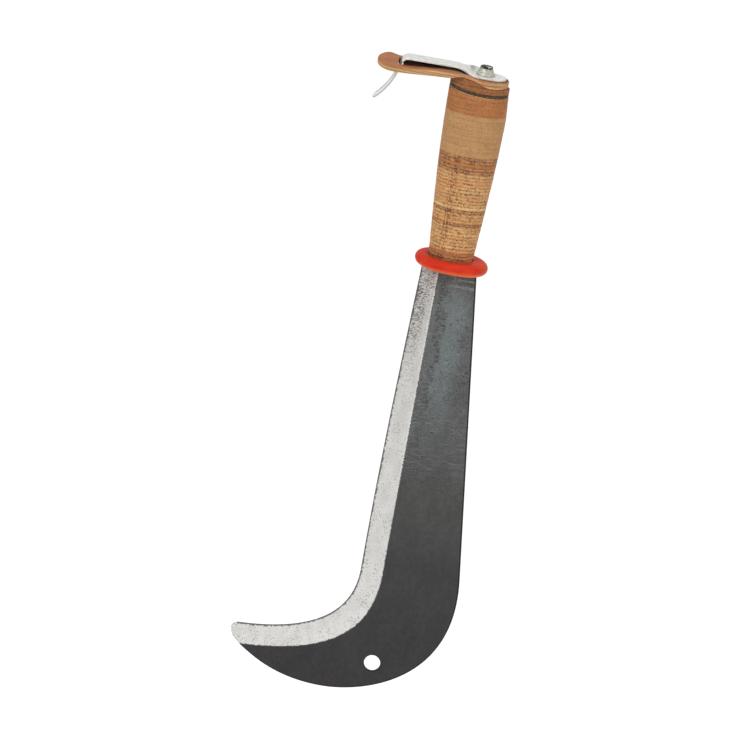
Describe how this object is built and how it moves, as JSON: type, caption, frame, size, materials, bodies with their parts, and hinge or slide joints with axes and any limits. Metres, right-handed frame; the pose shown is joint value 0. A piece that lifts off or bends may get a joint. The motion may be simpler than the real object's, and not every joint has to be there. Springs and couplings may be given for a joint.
{
  "type": "billhook",
  "caption": "Billhook with a hooked forged blade, a stacked leather grip, a red guard ring and a swivelling belt hook on the pommel.",
  "frame": {"origin": "middle of the grip on the axis of the tang", "axes": "+Z along the tang towards the pommel, -X the cutting edge side, Y across the blade's thickness"},
  "size_m": [0.1536, 0.048, 0.4617],
  "materials": {
    "blade_steel": "dark forge scale with a ground bevel",
    "guard_plastic": "glossy red",
    "grip_leather_striped": "sanded edge grain in many shades",
    "grip_leather_plain": "sanded edge grain, light tan",
    "spacer_fibre": "dark brown, matte",
    "end_leather": "red brown, matte",
    "tongue_leather": "tan leather with pale cut edges",
    "hook_steel": "bright spring steel",
    "rivet_steel": "bright, slightly worn"
  },
  "bodies": {
    "tool": {"blade": "blade_steel", "guard_ring": "guard_plastic", "leather_washer_01": "grip_leather_striped", "leather_washer_02": "grip_leather_striped", "leather_washer_03": "grip_leather_striped", "leather_washer_04": "grip_leather_striped", "leather_washer_05": "grip_leather_striped", "leather_washer_06": "grip_leather_striped", "leather_washer_07": "grip_leather_striped", "leather_washer_08": "grip_leather_striped", "leather_washer_09": "grip_leather_striped", "leather_washer_10": "grip_leather_striped", "leather_washer_11": "grip_leather_striped", "leather_washer_12": "grip_leather_striped", "leather_washer_13": "grip_leather_striped", "leather_washer_14": "grip_leather_striped", "leather_washer_15": "grip_leather_striped", "leather_washer_16": "grip_leather_striped", "leather_washer_17": "grip_leather_striped", "leather_washer_18": "grip_leather_striped", "leather_washer_19": "grip_leather_striped", "leather_washer_20": "grip_leather_striped", "leather_washer_21": "grip_leather_striped", "leather_washer_22": "grip_leather_striped", "leather_washer_23": "grip_leather_striped", "leather_washer_24": "grip_leather_striped", "leather_washer_25": "grip_leather_striped", "leather_washer_26": "grip_leather_striped", "leather_washer_27": "grip_leather_striped", "leather_washer_28": "grip_leather_striped", "leather_washer_29": "grip_leather_striped", "leather_washer_30": "grip_leather_striped", "leather_washer_31": "grip_leather_striped", "leather_washer_32": "grip_leather_striped", "leather_washer_33": "grip_leather_plain", "leather_washer_34": "grip_leather_plain", "leather_washer_35": "grip_leather_plain", "leather_washer_36": "grip_leather_plain", "leather_washer_37": "grip_leather_plain", "leather_washer_38": "grip_leather_plain", "leather_washer_39": "grip_leather_plain", "leather_washer_40": "grip_leather_plain", "leather_washer_41": "grip_leather_plain", "leather_washer_42": "grip_leather_plain", "leather_washer_43": "grip_leather_plain", "leather_washer_44": "grip_leather_plain", "fibre_spacer": "spacer_fibre", "end_washer": "end_leather", "rivet_washer": "rivet_steel"},
    "hook": {"leather_wedge": "end_leather", "leather_tongue": "tongue_leather", "belt_hook": "hook_steel"}
  },
  "joints": [
    {"name": "hook_swivel", "type": "hinge", "parent": "tool", "child": "hook", "pos_m": [0, 0, 0.07218], "axis": [0, 0, 1], "continuous": true}
  ]
}
